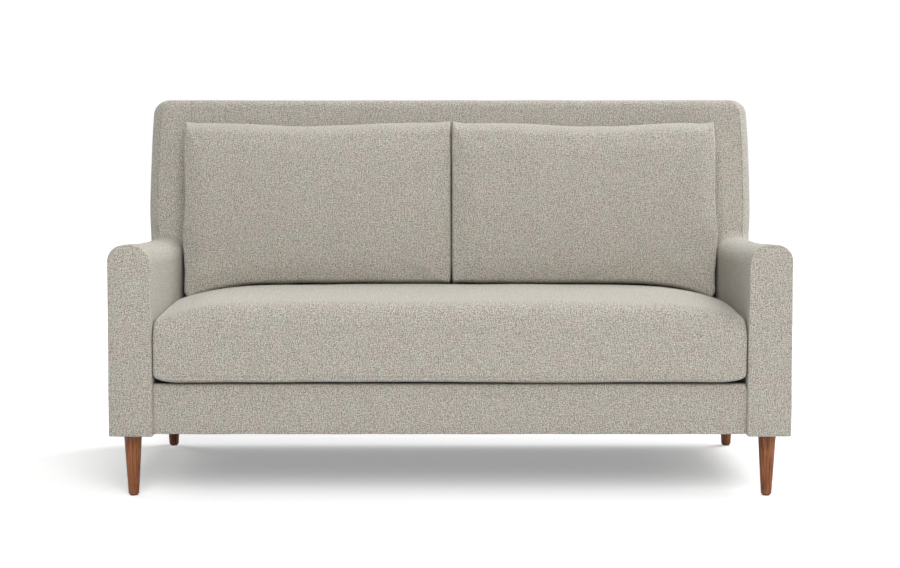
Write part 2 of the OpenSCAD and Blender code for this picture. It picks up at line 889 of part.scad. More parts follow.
// Height of a back cushion's foot. The cover follows the seat cushion; the core's foot is flat.
function back_cushion_foot(x, wrap) =
    seat_top_z(wrap > 0 ? 0 : x) - seat_rear_fall + cushion_gap + wrap;

// Back cushion: side view sections that lean on the inside back and stand on the seat
// cushion, thick in the middle and thin along every edge
function back_cushion_ring(x, wrap) =
    let (u = (x - back_cushion_mid_x) / back_cushion_half,
         fill = sqrt(max(0, 1 - pow(abs(u), across_power))),
         z0 = back_cushion_foot(x, wrap),
         z1 = back_cushion_top - back_cushion_dip * (1 - u * u) - wrap,
         edge_t = back_cushion_edge_t - wrap,
         mid_t = mix(edge_t, back_cushion_t - wrap, fill),
         front = [for (s = back_cushion_up_shares)
            let (z = mix(z0, z1, s),
                 t = mix(edge_t, mid_t, pow(4 * s * (1 - s), up_power)))
            [inside_y(z) - cushion_gap - t, z]])
    [for (p = concat(
        [[inside_y(z0) - cushion_gap - wrap, z0]],
        front,
        [[inside_y(z1) - cushion_gap - wrap, z1]])) [x, p[0], p[1]]];

back_cushion_up_shares = [0, 0.03, 0.1, 0.22, 0.36, 0.5, 0.64, 0.78, 0.9, 0.97, 1];
back_cushion_across_shares = [1, 0.97, 0.9, 0.75, 0.5, 0.2, -0.2, -0.5, -0.75, -0.9, -0.97, -1];

module back_cushion_form(wrap) {
    half = back_cushion_half - wrap;
    loft([for (share = back_cushion_across_shares)
        back_cushion_ring(back_cushion_mid_x + share * half, wrap)]);
}

module back_cushion_cover() {
    difference() {
        back_cushion_form(0);
        back_cushion_form(cushion_wrap);
    }
}

module back_cushion_cover_right() {
    color(fabric_colour) back_cushion_cover();
}

module back_cushion_cover_left() {
    color(fabric_colour) mirror([1, 0, 0]) back_cushion_cover();
}

module back_cushion_core_right() {
    color(foam_colour) back_cushion_form(cushion_wrap);
}

module back_cushion_core_left() {
    color(foam_colour) mirror([1, 0, 0]) back_cushion_form(cushion_wrap);
}

front_rail();
rear_spring_rail();
base_rear_rail();
side_rail_left();
side_rail_right();
seat_stretchers();
glue_blocks();
leg_blocks();
arm_front_post_left();
arm_front_post_right();
arm_top_rail_left();
arm_top_rail_right();
back_post_left();
back_post_right();
back_top_rail();
back_lower_rail();
back_uprights();
springs_left_bay();
springs_middle_bay();
springs_right_bay();
spring_clips();
spring_tie_wires();
back_webbing();
deck_pad();
deck_cloth();
front_rail_cover();
arm_cover_left();
arm_cover_right();
inside_back_cover();
outside_back_panel();
dust_cloth();
leg_plates();
hanger_bolts();
leg_front_left();
leg_front_right();
leg_rear_left();
leg_rear_right();
leg_glides();
seat_cushion_cover();
seat_cushion_core();
back_cushion_cover_left();
back_cushion_core_left();
back_cushion_cover_right();
back_cushion_core_right();
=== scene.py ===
import json
import math

import bmesh
import bpy
from mathutils import Matrix, Vector, noise


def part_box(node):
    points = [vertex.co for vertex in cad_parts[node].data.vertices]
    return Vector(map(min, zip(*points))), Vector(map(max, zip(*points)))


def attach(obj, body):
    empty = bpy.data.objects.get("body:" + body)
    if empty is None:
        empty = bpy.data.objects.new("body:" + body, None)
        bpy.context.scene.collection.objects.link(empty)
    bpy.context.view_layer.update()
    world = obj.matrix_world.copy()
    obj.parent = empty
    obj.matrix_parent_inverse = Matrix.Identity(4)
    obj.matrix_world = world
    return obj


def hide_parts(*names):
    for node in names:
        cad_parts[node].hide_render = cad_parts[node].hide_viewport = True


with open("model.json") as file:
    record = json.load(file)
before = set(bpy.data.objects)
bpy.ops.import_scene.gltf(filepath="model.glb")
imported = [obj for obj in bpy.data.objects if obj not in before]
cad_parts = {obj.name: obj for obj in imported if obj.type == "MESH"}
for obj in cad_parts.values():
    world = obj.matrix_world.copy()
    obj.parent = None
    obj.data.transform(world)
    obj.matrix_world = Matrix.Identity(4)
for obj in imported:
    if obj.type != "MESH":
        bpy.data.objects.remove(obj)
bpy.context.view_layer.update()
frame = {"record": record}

# Main planes, read from the frame. Metres; the front faces -Y.
ARM_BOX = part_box("arm_cover_right")
BACK_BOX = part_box("inside_back_cover")
PANEL_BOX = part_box("outside_back_panel")
RAIL_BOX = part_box("front_rail_cover")
SEAT_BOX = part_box("seat_cushion_cover")
CUSHION_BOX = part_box("back_cushion_cover_right")
HALF_W = ARM_BOX[1][0]
PANEL_X = ARM_BOX[0][0]
FRONT_Y = ARM_BOX[0][1]
REAR_Y = BACK_BOX[1][1]
BASE_Z = ARM_BOX[0][2]
TOP_Z = ARM_BOX[1][2]
DECK_Z = RAIL_BOX[1][2]
SEAT_X = HALF_W - 0.105

# Angles, roundings and heights of the body, as the construction has them
RAKE = math.tan(math.radians(12.8))
LEAN = math.tan(math.radians(2.6))
SEAT_SPACE = 0.594
TOP_ROUND = 0.026
CORNER_ROUND = 0.040
ROUND_Z = TOP_Z - TOP_ROUND
TAPER = 0.008
TAPER_H = 0.240
ARM_H = 0.642
ARM_FALL = 0.029
ARM_ROUND_OUT = 0.041
ARM_ROUND_IN = 0.050


def clamp(value, low=0.0, high=1.0):
    return max(low, min(high, value))


def ease(share):
    """Smooth step from 0 to 1."""
    share = clamp(share)
    return share * share * (3 - 2 * share)


def drop(distance, radius):
    """How far a rounded edge lies back, at a distance in from where it ends."""
    left = radius - clamp(distance, 0.0, radius)
    return radius - math.sqrt(max(0.0, radius * radius - left * left))


def hill(distance, half):
    """A smooth bump of height 1 that ends at half its width."""
    return ease(1 - abs(distance) / half)


def inside_y(z):
    """Depth of the inside back at height z."""
    return FRONT_Y + SEAT_SPACE + (z - DECK_Z) * RAKE


def outside_y(z):
    """Depth of the outside back at height z."""
    return REAR_Y - max(0.0, ROUND_Z - z) * LEAN


WING_Y = inside_y(ARM_H - ARM_FALL)
ARM_SAG = 0.005


def arm_top(y):
    """Height of the arm's top at depth y: it falls towards the wing and sags a little."""
    along = clamp((y - FRONT_Y) / (WING_Y - FRONT_Y))
    return ARM_H - ARM_FALL * along - ARM_SAG * math.sin(math.pi * along) ** 2


# Outlines: each call gives count points and leaves out the end of its stretch
def line(a, b, count):
    """Points along a straight stretch from a to b."""
    return [(a[0] + (b[0] - a[0]) * k / count, a[1] + (b[1] - a[1]) * k / count) for k in range(count)]


def arc(centre, radius, start, end, count):
    """Points along a round stretch between two angles in degrees."""
    angles = [math.radians(start + (end - start) * k / count) for k in range(count)]
    return [(centre[0] + radius * math.cos(a), centre[1] + radius * math.sin(a)) for a in angles]


def places_across(end, rim, count):
    """Places from the right end to the left one, with sixteen close together over the rim at each end."""
    near = [end - rim * (1 - math.cos(math.radians(6 * k))) for k in range(16)]
    return near + [near[-1] * (1 - 2 * k / count) for k in range(1, count)] + [-x for x in reversed(near)]


def add_object(name, mesh):
    """A new object in the scene that shows a mesh."""
    piece = bpy.data.objects.new(name, mesh)
    bpy.context.scene.collection.objects.link(piece)
    return piece


MERGE_DISTANCE = 0.00001


def mesh_from(name, points, faces):
    """A mesh with its normals pointing outwards."""
    mesh = bpy.data.meshes.new(name)
    mesh.from_pydata([tuple(p) for p in points], [], faces)
    shell = bmesh.new()
    shell.from_mesh(mesh)
    bmesh.ops.remove_doubles(shell, verts=shell.verts, dist=MERGE_DISTANCE)
    bmesh.ops.recalc_face_normals(shell, faces=shell.faces)
    shell.to_mesh(mesh)
    shell.free()
    return mesh


def loft(name, rings):
    """A closed piece through rings that have the same number of points."""
    count = len(rings[0])
    points = [p for ring in rings for p in ring]
    faces = []
    for k in range(len(rings) - 1):
        here = k * count
        there = here + count
        for i in range(count):
            j = (i + 1) % count
            faces.append((here + i, here + j, there + j, there + i))
    last = (len(rings) - 1) * count
    faces.append(tuple(range(count)))
    faces.append(tuple(range(last, last + count)))
    return add_object(name, mesh_from(name, points, faces))


def soften(piece, height, size, seed):
    """Moves a surface in and out by smooth noise, as padding under cloth does."""
    mesh = piece.data
    shift = Vector((seed * 7.3, seed * 3.1, seed * 5.7))
    normals = [v.normal.copy() for v in mesh.vertices]
    for v, n in zip(mesh.vertices, normals):
        v.co += n * (height * noise.noise(v.co / size + shift))


def shade(piece, angle=40.0):
    """Smooth shading, with edges sharper than the angle kept."""
    mesh = piece.data
    shell = bmesh.new()
    shell.from_mesh(mesh)
    limit = math.radians(angle)
    for face in shell.faces:
        face.smooth = True
    for edge in shell.edges:
        edge.smooth = len(edge.link_faces) == 2 and edge.calc_face_angle(0.0) < limit
    shell.to_mesh(mesh)
    shell.free()


def mirror(piece):
    """Turns a right piece into the left one."""
    piece.data.transform(Matrix.Scale(-1, 4, (1, 0, 0)))
    piece.data.flip_normals()


def subdivide(piece):
    """One applied level of smooth subdivision."""
    piece.modifiers.new("smooth", "SUBSURF").levels = 1
    graph = bpy.context.evaluated_depsgraph_get()
    mesh = bpy.data.meshes.new_from_object(piece.evaluated_get(graph))
    piece.modifiers.clear()
    piece.data = mesh
    mesh.name = piece.name


# Filling of the sewn cushions: frames and quality of the cloth, its mass and the air pressure in it
FILL_FRAMES = 20
FILL_QUALITY = 5
FILL_MASS = 0.3
FILL_PRESSURE = 4.0


def inflate(piece, cap, held):
    """Fills a sewn case: cloth under air pressure, still where it is held; no point moves past cap."""
    scene = bpy.context.scene
    start = [v.co.copy() for v in piece.data.vertices]
    group = piece.vertex_groups.new(name="held")
    group.add(held, 1.0, "REPLACE")
    cloth = piece.modifiers.new("cloth", "CLOTH")
    cloth.settings.quality = FILL_QUALITY
    cloth.settings.mass = FILL_MASS
    cloth.settings.use_pressure = True
    cloth.settings.uniform_pressure_force = FILL_PRESSURE
    cloth.settings.effector_weights.gravity = 0.0
    cloth.settings.vertex_group_mass = "held"
    cloth.point_cache.frame_start = 1
    cloth.point_cache.frame_end = FILL_FRAMES
    for step in range(1, FILL_FRAMES + 1):
        scene.frame_set(step)
    graph = bpy.context.evaluated_depsgraph_get()
    filled = piece.evaluated_get(graph).to_mesh()
    moved = [v.co.copy() for v in filled.vertices]
    piece.evaluated_get(graph).to_mesh_clear()
    piece.modifiers.clear()
    piece.vertex_groups.clear()
    scene.frame_set(1)
    for v, a, b in zip(piece.data.vertices, start, moved):
        way = b - a
        if way.length > cap:
            way = way * (cap / way.length)
        v.co = a + way


def dress(piece, body, slot, material, *nodes):
    """Gives a piece its material, its body and the construction pieces it takes the place of; slot is not
    used.
    """
    piece.data.materials.clear()
    piece.data.materials.append(material)
    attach(piece, body)
    if nodes:
        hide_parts(*nodes)


# Materials
class Nodes:
    """Short names for building a node tree."""

    def __init__(self, tree):
        self.tree = tree
        self.shader = tree.nodes.get("Principled BSDF")

    def add(self, kind, **values):
        node = self.tree.nodes.new(kind)
        for key, value in values.items():
            setattr(node, key, value)
        return node

    def link(self, a, b):
        self.tree.links.new(a, b)

    def put(self, value, socket):
        """Sets a socket to a value, or links another socket to it."""
        if isinstance(value, (int, float, tuple)):
            socket.default_value = value
        else:
            self.link(value, socket)

    def surface(self, values):
        """Sets the shader's own values."""
        for key, value in values.items():
            self.shader.inputs[key].default_value = value

    def math(self, operation, *values):
        node = self.add("ShaderNodeMath", operation=operation)
        for socket, value in zip(node.inputs, values):
            self.put(value, socket)
        return node.outputs[0]

    def vector_math(self, operation, vector, other=None):
        """A sum on a vector socket, with a second vector of fixed numbers where it takes one."""
        node = self.add("ShaderNodeVectorMath", operation=operation)
        self.link(vector, node.inputs[0])
        if other is not None:
            node.inputs[1].default_value = other
        return node.outputs["Value" if operation == "LENGTH" else "Vector"]

    def total(self, *values):
        """Sum of sockets and numbers."""
        result = values[0]
        for value in values[1:]:
            result = self.math("ADD", result, value)
        return result

    def centred(self, socket, factor):
        """A noise from 0 to 1 made to run evenly above and below 0, times a factor."""
        return self.math("MULTIPLY", self.math("SUBTRACT", socket, 0.5), factor)

    def mix_number(self, factor, a, b):
        node = self.add("ShaderNodeMix", data_type="FLOAT")
        self.put(factor, node.inputs[0])
        self.put(a, node.inputs[2])
        self.put(b, node.inputs[3])
        return node.outputs[0]

    def tinted(self, colour, tint):
        """One colour socket times another."""
        node = self.add("ShaderNodeMix", data_type="RGBA", blend_type="MULTIPLY")
        node.inputs[0].default_value = 1.0
        self.link(colour, node.inputs[6])
        self.link(tint, node.inputs[7])
        return node.outputs[2]

    def vector(self, x, y, z=0.0):
        node = self.add("ShaderNodeCombineXYZ")
        for socket, value in zip(node.inputs, (x, y, z)):
            self.put(value, socket)
        return node.outputs[0]

    def split(self, vector):
        node = self.add("ShaderNodeSeparateXYZ")
        self.link(vector, node.inputs[0])
        return node.outputs

    def place(self):
        return self.add("ShaderNodeTexCoord").outputs["Object"]

    def white(self, vector):
        node = self.add("ShaderNodeTexWhiteNoise", noise_dimensions="3D")
        self.link(vector, node.inputs["Vector"])
        return node.outputs["Value"]

    def noise(self, vector, scale, detail=2.0, roughness=0.5, distortion=0.0):
        node = self.add("ShaderNodeTexNoise")
        self.link(vector, node.inputs["Vector"])
        node.inputs["Scale"].default_value = scale
        node.inputs["Detail"].default_value = detail
        node.inputs["Roughness"].default_value = roughness
        node.inputs["Distortion"].default_value = distortion
        return node.outputs["Fac"]

    def bump(self, height, distance, strength):
        """Relief on the shader, from a height from 0 to 1."""
        node = self.add("ShaderNodeBump")
        self.link(height, node.inputs["Height"])
        node.inputs["Distance"].default_value = distance
        node.inputs["Strength"].default_value = strength
        self.link(node.outputs[0], self.shader.inputs["Normal"])

    def ramp(self, factor, stops):
        """A colour between stops, each a place from 0 to 1 and a colour."""
        node = self.add("ShaderNodeValToRGB")
        ramp = node.color_ramp
        while len(ramp.elements) < len(stops):
            ramp.elements.new(0.5)
        for element, (place, colour) in zip(ramp.elements, stops):
            element.position = place
            element.color = (*colour, 1.0)
        self.link(factor, node.inputs[0])
        return node.outputs[0]

    def seen(self):
        """1 for camera, glossy and transmission rays, 0 for the rays that light things."""
        path = self.add("ShaderNodeLightPath")
        both = self.math("MAXIMUM", path.outputs["Is Camera Ray"], path.outputs["Is Glossy Ray"])
        return self.math("MAXIMUM", both, path.outputs["Is Transmission Ray"])


def new_material(name):
    material = bpy.data.materials.new(name)
    material.use_nodes = True
    return material, Nodes(material.node_tree)


def surface_plane(n):
    """Two coordinates in metres along the cloth, from the side that a surface faces most."""
    coordinates = n.add("ShaderNodeTexCoord")
    place = n.split(coordinates.outputs["Object"])
    size = [n.math("ABSOLUTE", part) for part in n.split(coordinates.outputs["Normal"])]
    faces_x = n.math("MULTIPLY", n.math("GREATER_THAN", size[0], size[1]),
                     n.math("GREATER_THAN", size[0], size[2]))
    faces_z = n.math("GREATER_THAN", size[2], n.math("MAXIMUM", size[0], size[1]))
    u = n.mix_number(faces_x, place[0], place[1])
    v = n.mix_number(faces_z, place[2], place[1])
    return u, v, coordinates.outputs["Object"]


# Cloth: yarn width in metres, lengths of flecks, runs and shifts in yarns, and shares of the contrast
YARN = 0.0018
DASH = 2.0
RUN = 4.0
YARN_SHIFT = 9.0
WARP_SHARE = 0.58
FLECK_SHARE = 0.83
RUN_SHARE = 0.35
PATCH_SHARE = 0.06
PATCH_SCALE = 26.0
HUE_SCALE = 34.0
WARMER = (1.0, 0.968, 0.958)
GREENER = (0.968, 1.0, 0.968)
YARN_RELIEF = 0.3
YARN_BUMP = 0.7
CLOTH_SURFACE = {"Roughness": 0.92, "Specular IOR Level": 0.15, "Sheen Weight": 0.30, "Sheen Roughness": 0.5,
                 "Sheen Tint": (0.96, 1.0, 0.93, 1.0)}


def weave(name, light, dark, yarn=YARN):
    """A heathered plain weave: yarns pass over and under, flecked and with long lighter or darker runs."""
    material, n = new_material(name)
    u, v, place = surface_plane(n)
    across = n.math("DIVIDE", u, yarn)
    up = n.math("DIVIDE", v, yarn)
    warp = n.math("FLOOR", across)
    weft = n.math("FLOOR", up)
    weft_over = n.math("GREATER_THAN", n.white(n.vector(warp, weft, 7.0)), WARP_SHARE)

    def shade_of(yarn_number, along, length, seed):
        """A yarn's shade, which changes along it after a length in yarns."""
        start = n.math("MULTIPLY", n.white(n.vector(yarn_number, seed)), YARN_SHIFT)
        stretch = n.math("FLOOR", n.total(n.math("DIVIDE", along, length), start))
        return n.white(n.vector(yarn_number, stretch, seed + 1))

    def contrast_of(yarn_number, along, length, seed):
        """How much lighter a yarn is than the one beside it."""
        own = shade_of(yarn_number, along, length, seed)
        beside = shade_of(n.total(yarn_number, 1.0), along, length, seed)
        return n.math("SUBTRACT", own, beside)

    fleck = n.mix_number(weft_over, contrast_of(warp, up, DASH, 11.0), contrast_of(weft, across, DASH, 21.0))
    run = n.total(contrast_of(warp, up, RUN, 31.0), contrast_of(weft, across, RUN, 41.0))
    patch = n.noise(place, PATCH_SCALE, 2.0)
    value = n.total(n.math("MULTIPLY", fleck, FLECK_SHARE), n.math("MULTIPLY", run, RUN_SHARE),
                    n.centred(patch, PATCH_SHARE), 0.5)
    middle = tuple((a + b) / 2 for a, b in zip(light, dark))
    colour = n.ramp(value, [(0.0, dark), (0.5, middle), (1.0, light)])
    # The dye lies a little warmer in some patches and greener in others
    hue = n.ramp(n.noise(place, HUE_SCALE, 1.0), [(0.35, WARMER), (0.65, GREENER)])
    n.link(n.tinted(colour, hue), n.shader.inputs["Base Color"])
    n.surface(CLOTH_SURFACE)
    # Height of the yarns: round across, higher where they pass over and where they are thick
    warp_round = n.math("SINE", n.math("MULTIPLY", n.math("FRACT", across), math.pi))
    weft_round = n.math("SINE", n.math("MULTIPLY", n.math("FRACT", up), math.pi))
    height = n.total(n.math("MULTIPLY", warp_round, weft_round), n.math("MULTIPLY", fleck, 0.5))
    n.bump(height, yarn * YARN_RELIEF, YARN_BUMP)
    return material


# Wood: how much slower the grain changes along it, scales of its marks, and their depth in metres
GRAIN_STRETCH = 0.055
BAND_SCALE = 150.0
PORE_SCALE = 900.0
DRIFT_SCALE = 9.0
PORE_DEPTH = 0.0002


def wood(name, light, dark, along, rough, coat, grain):
    """Wood with its grain along one axis: bands, fine pores and a satin finish."""
    material, n = new_material(name)
    stretch = [1.0, 1.0, 1.0]
    stretch[along] = GRAIN_STRETCH
    place = n.vector_math("MULTIPLY", n.place(), tuple(stretch))
    bands = n.noise(place, BAND_SCALE * grain, 4.0, distortion=0.6)
    pores = n.noise(place, PORE_SCALE * grain, 2.0, 0.7)
    drift = n.noise(n.place(), DRIFT_SCALE, 2.0)
    value = n.total(n.centred(bands, 0.75), n.centred(pores, 0.25), n.centred(drift, 0.25), 0.5)
    middle = tuple((a + b) / 2 for a, b in zip(light, dark))
    n.link(n.ramp(value, [(0.36, dark), (0.5, middle), (0.64, light)]), n.shader.inputs["Base Color"])
    n.surface({"Roughness": rough, "Specular IOR Level": 0.3, "Coat Weight": coat, "Coat Roughness": 0.3})
    n.bump(pores, PORE_DEPTH, 0.4)
    return material


def speckled(name, colour, scale, spread, rough, depth, metallic=0.0):
    """A plain material whose fine noise shades it and roughens it."""
    material, n = new_material(name)
    marks = n.noise(n.place(), scale, 3.0, 0.6)
    darker = tuple(c * (1 - spread) for c in colour)
    n.link(n.ramp(marks, [(0.3, darker), (0.7, colour)]), n.shader.inputs["Base Color"])
    n.surface({"Metallic": metallic, "Roughness": rough})
    n.bump(marks, depth, 0.5)
    return material


CLOTH = weave("upholstery", (0.674, 0.631, 0.572), (0.239, 0.216, 0.186))
LINING = weave("lining", (0.045, 0.045, 0.045), (0.015, 0.015, 0.015), yarn=0.0012)
BELT = weave("webbing", (0.42, 0.32, 0.20), (0.18, 0.12, 0.07), yarn=0.0022)
LEG_WOOD = wood("leg_wood", (0.36, 0.125, 0.040), (0.095, 0.026, 0.008),
                along=2, rough=0.45, coat=0.05, grain=1.5)
TIMBER = wood("frame_timber", (0.66, 0.47, 0.28), (0.46, 0.29, 0.15),
              along=0, rough=0.7, coat=0.0, grain=0.4)
STEEL = speckled("steel", (0.42, 0.43, 0.45), 240.0, 0.2, 0.35, 0.0001, metallic=1.0)
FOAM = speckled("foam", (0.80, 0.76, 0.60), 420.0, 0.15, 0.95, 0.0006)
GLIDE = speckled("glide", (0.06, 0.06, 0.06), 900.0, 0.25, 0.6, 0.0001)
SLOT_MATERIALS = {"upholstery": CLOTH, "lining": LINING, "webbing": BELT, "leg_wood": LEG_WOOD,
                  "frame_timber": TIMBER, "steel": STEEL, "foam": FOAM, "glide": GLIDE}

# Arms: sections square to Y, padded sides, and a front panel sewn in close to the edge
ARM_INSETS = (0.0, 0.0003, 0.0009, 0.0018, 0.003, 0.0042, 0.005, 0.0058, 0.007, 0.0095,
              0.013, 0.019, 0.026, 0.034, 0.042, 0.0495)
ARM_EDGE_ROUND = 0.0042
ARM_SEAM_AT = 0.005
ARM_SEAM_HALF = 0.0014
ARM_SEAM_DEPTH = 0.0005
ARM_CROWN = 0.0022
ARM_SWELL_LOW = 0.0055
ARM_SWELL_HIGH = 0.0025
ARM_SWELL_FADE = 0.7
ARM_HANG = 0.003
HEM_ROUND = 0.004
LEAST_ROUND = 0.0004
HAIR = 0.0005


def arm_front_back(inset):
    """How far the arm's front lies behind its foremost plane, at a distance in from its edge."""
    inwards = clamp((inset - ARM_SEAM_AT) / (ARM_ROUND_IN - ARM_SEAM_AT))
    return (drop(inset, ARM_EDGE_ROUND) + ARM_SEAM_DEPTH * hill(inset - ARM_SEAM_AT, ARM_SEAM_HALF)
            - ARM_CROWN * (1 - (1 - inwards) ** 2))


def arm_ring(inset, y, place=None):
    """One section of the right arm; place gives a point's depth when the section isn't level in Y."""
    x0 = SEAT_X + inset
    x1 = HALF_W - inset
    z0 = BASE_Z - ARM_HANG + inset
    z1 = arm_top(y) - inset
    ro = max(ARM_ROUND_OUT - inset, LEAST_ROUND)
    ri = max(ARM_ROUND_IN - inset, LEAST_ROUND)
    h = max(HEM_ROUND - inset / 2, LEAST_ROUND)
    outline = (line((x0 + h, z0), (x1 - h, z0), 8) + arc((x1 - h, z0 + h), h, -90, 0, 3)
               + line((x1, z0 + h), (x1, z1 - ro), 36) + arc((x1 - ro, z1 - ro), ro, 0, 90, 16)
               + arc((x0 + ri, z1 - ri), ri, 90, 180, 18) + line((x0, z1 - ri), (x0, z0 + h), 36)
               + arc((x0 + h, z0 + h), h, 180, 270, 3))
    ring = []
    for x, z in outline:
        up = clamp((z - BASE_Z) / (ARM_H - BASE_Z))
        out = clamp((x - SEAT_X) / (HALF_W - SEAT_X)) ** 2
        ahead = 1 - ARM_SWELL_FADE * ease((y - FRONT_Y) / (WING_Y - FRONT_Y))
        swell = (ARM_SWELL_LOW + (ARM_SWELL_HIGH - ARM_SWELL_LOW) * up) * out * ahead
        ring.append((x + swell, place(z) if place else y, z))
    return ring


def arm(name, seed):
    """The right arm from its front panel back to the outside back; its last sections follow the rake."""
    rings = [arm_ring(inset, FRONT_Y + arm_front_back(inset)) for inset in reversed(ARM_INSETS)]
    start = FRONT_Y + ARM_EDGE_ROUND
    end = inside_y(ARM_H)
    rings += [arm_ring(0.0, start + (end - start) * k / 60) for k in range(1, 61)]
    for k in range(1, 11):
        share = k / 10
        rings.append(arm_ring(0.0, end, lambda z, s=share: end + (outside_y(z) - HAIR - end) * s))
    piece = loft(name, rings)
    soften(piece, 0.0012, 0.11, seed)
    shade(piece)
    return piece


# Wings: level sections from inside the arm up to the rounded top corner
WING_PAD = 0.001
WING_FLARE = 0.0070
WING_FLARE_LOW = 0.555
WING_FLARE_H = 0.150
WING_SIDE_GAP = 0.0002
WING_STRIP = 0.028
WING_STRIP_TURN = 38.0
WING_INNER_ROUND = 0.0010
WING_GAP_ROUND = 0.0130
WING_SEAM_DEPTH = 0.0044
WING_SEAM_HALF = 0.0028
WING_LOW = ARM_H - ARM_FALL - ARM_ROUND_OUT - 0.025
WING_SINK = 0.0012
WING_REAR_ROUND = 0.009
WING_ROUND_CHANGE = 0.07
WING_STRIP_START = 0.04
WING_TOP = TOP_Z - 0.0002
FILLET = 0.022
FILLET_D = 0.03


def wing_side(z):
    """Half the settee's width at height z: the wings flare above the arms and taper near the top."""
    flare = WING_FLARE * ease((z - WING_FLARE_LOW) / WING_FLARE_H)
    return HALF_W + WING_PAD + flare - TAPER * (max(0.0, z - (TOP_Z - TAPER_H)) / TAPER_H) ** 2


def arm_surface(x, y):
    """Height of the arm's surface at a place, below the floor where there is no arm."""
    if x < SEAT_X:
        return -1.0
    return arm_top(y) - drop(x - SEAT_X, ARM_ROUND_IN) - drop(HALF_W - x, ARM_ROUND_OUT)


def wing_outline(z, sink):
    """Level section of the right wing: a flat face, a seam, and a strip that turns to the side."""
    corner = drop(TOP_Z - z, CORNER_ROUND)
    edge = drop(TOP_Z - z, TOP_ROUND)
    side = wing_side(z) - sink
    x1 = side - corner
    y0 = inside_y(z) + edge
    y1 = outside_y(z) - edge
    px = PANEL_X + WING_SIDE_GAP
    beside = ease((CUSHION_BOX[1][2] - z) / WING_ROUND_CHANGE)
    s = WING_INNER_ROUND + (WING_GAP_ROUND - WING_INNER_ROUND) * beside
    seam = x1 - WING_STRIP
    start = math.radians(WING_STRIP_TURN)
    r = WING_STRIP / (1 - math.sin(start))
    side_y = y0 + r * math.cos(start)
    start += WING_STRIP_START
    turns = [start + (math.pi / 2 - start) * k / 14 for k in range(14)]
    strip = [(seam - WING_SEAM_HALF, y0), (seam - WING_SEAM_HALF / 2, y0 + WING_SEAM_DEPTH * 0.3),
             (seam, y0 + WING_SEAM_DEPTH)]
    strip += [(x1 - r + r * math.sin(turn), side_y - r * math.cos(turn)) for turn in turns]
    q = WING_REAR_ROUND
    outline = (line((px, y1 - 0.004), (px, y0 + s), 8) + arc((px + s, y0 + s), s, 180, 270, 4)
               + line((px + s, y0), (seam - WING_SEAM_HALF, y0), 24) + strip
               + line((x1, side_y), (x1, y1 - q), 14) + arc((x1 - q, y1 - q), q, 0, 90, 5)
               + line((x1 - q, y1), (px, y1), 10))
    ring = []
    for x, y in outline:
        nearness = clamp(1 - (y - y0) / FILLET_D)
        ring.append((x, y - drop(z - arm_surface(x, y0), FILLET) * nearness))
    return ring


def wing(name, seed):
    """The right wing; its lowest sections are sunk into the arm."""
    fine_top = ARM_H - ARM_FALL + 0.03
    straight_top = TOP_Z - CORNER_ROUND
    levels = [WING_LOW, WING_LOW + 0.004, WING_LOW + 0.008]
    levels += [levels[-1] + (fine_top - levels[-1]) * k / 36 for k in range(1, 37)]
    levels += [fine_top + (straight_top - fine_top) * k / 40 for k in range(1, 41)]
    levels += [straight_top + CORNER_ROUND * math.sin(math.radians(4.5 * k)) for k in range(1, 21)]
    rings = []
    for level in levels:
        z = min(level, WING_TOP)
        sink = WING_SINK if z < WING_LOW + 0.006 else 0.0
        rings.append([(x, y, z) for x, y in wing_outline(z, sink)])
    piece = loft(name, rings)
    soften(piece, 0.0008, 0.10, seed)
    shade(piece)
    return piece


for side, seed in (("right", 1), ("left", 2)):
    arm_piece = arm("arm_" + side, seed)
    wing_piece = wing("wing_" + side, seed + 4)
    if side == "left":
        mirror(arm_piece)
        mirror(wing_piece)
    dress(arm_piece, "root", "upholstery", CLOTH, "arm_cover_" + side)
    dress(wing_piece, "root", "upholstery", CLOTH)

# Inside back: one padded panel between the wings, over the top and down behind it
BACK_LIP_Z = PANEL_BOX[1][2] - 0.094
BACK_PAD = 0.022
BACK_SHELL = 0.012
BACK_FOOT_Z = DECK_Z + 0.001
BACK_INNER_Z = TOP_Z - 0.030
BACK_SIDE_GAP = 0.0003
BACK_ENDS = ((0.0, 0.0014), (0.0004, 0.0006), (0.0010, 0.0002), (0.0019, 0.0))


def inside_back_section(inset):
    """Section of the inside back square to X, made smaller all round by inset."""
    r = TOP_ROUND - inset
    top = TOP_Z - inset
    front = inside_y(ROUND_Z) + inset
    rear = outside_y(ROUND_Z) - inset
    low = BACK_FOOT_Z
    high = BACK_INNER_Z
    return (line((inside_y(low) + inset, low), (front, top - r), 46)
            + arc((front + r, top - r), r, 180, 90, 12)
            + line((front + r, top), (rear - r, top), 8) + arc((rear - r, top - r), r, 90, 0, 8)
            + line((rear, top - r), (outside_y(BACK_LIP_Z) - inset, BACK_LIP_Z), 8)
            + line((outside_y(BACK_LIP_Z) - BACK_SHELL, BACK_LIP_Z), (outside_y(high) - BACK_SHELL, high), 6)
            + line((inside_y(high) + BACK_PAD, high), (inside_y(low) + BACK_PAD, low), 30))


def inside_back(name):
    half = PANEL_X - BACK_SIDE_GAP
    ends = [(half - x, inset) for x, inset in BACK_ENDS]
    reach = ends[-1][0]
    places = ends + [(reach * (1 - 2 * k / 90), 0.0) for k in range(1, 90)]
    places += [(-x, inset) for x, inset in reversed(ends)]
    piece = loft(name, [[(x, y, z) for y, z in inside_back_section(inset)] for x, inset in places])
    soften(piece, 0.0010, 0.14, 9)
    shade(piece)
    return piece


dress(inside_back("inside_back"), "root", "upholstery", CLOTH, "inside_back_cover")

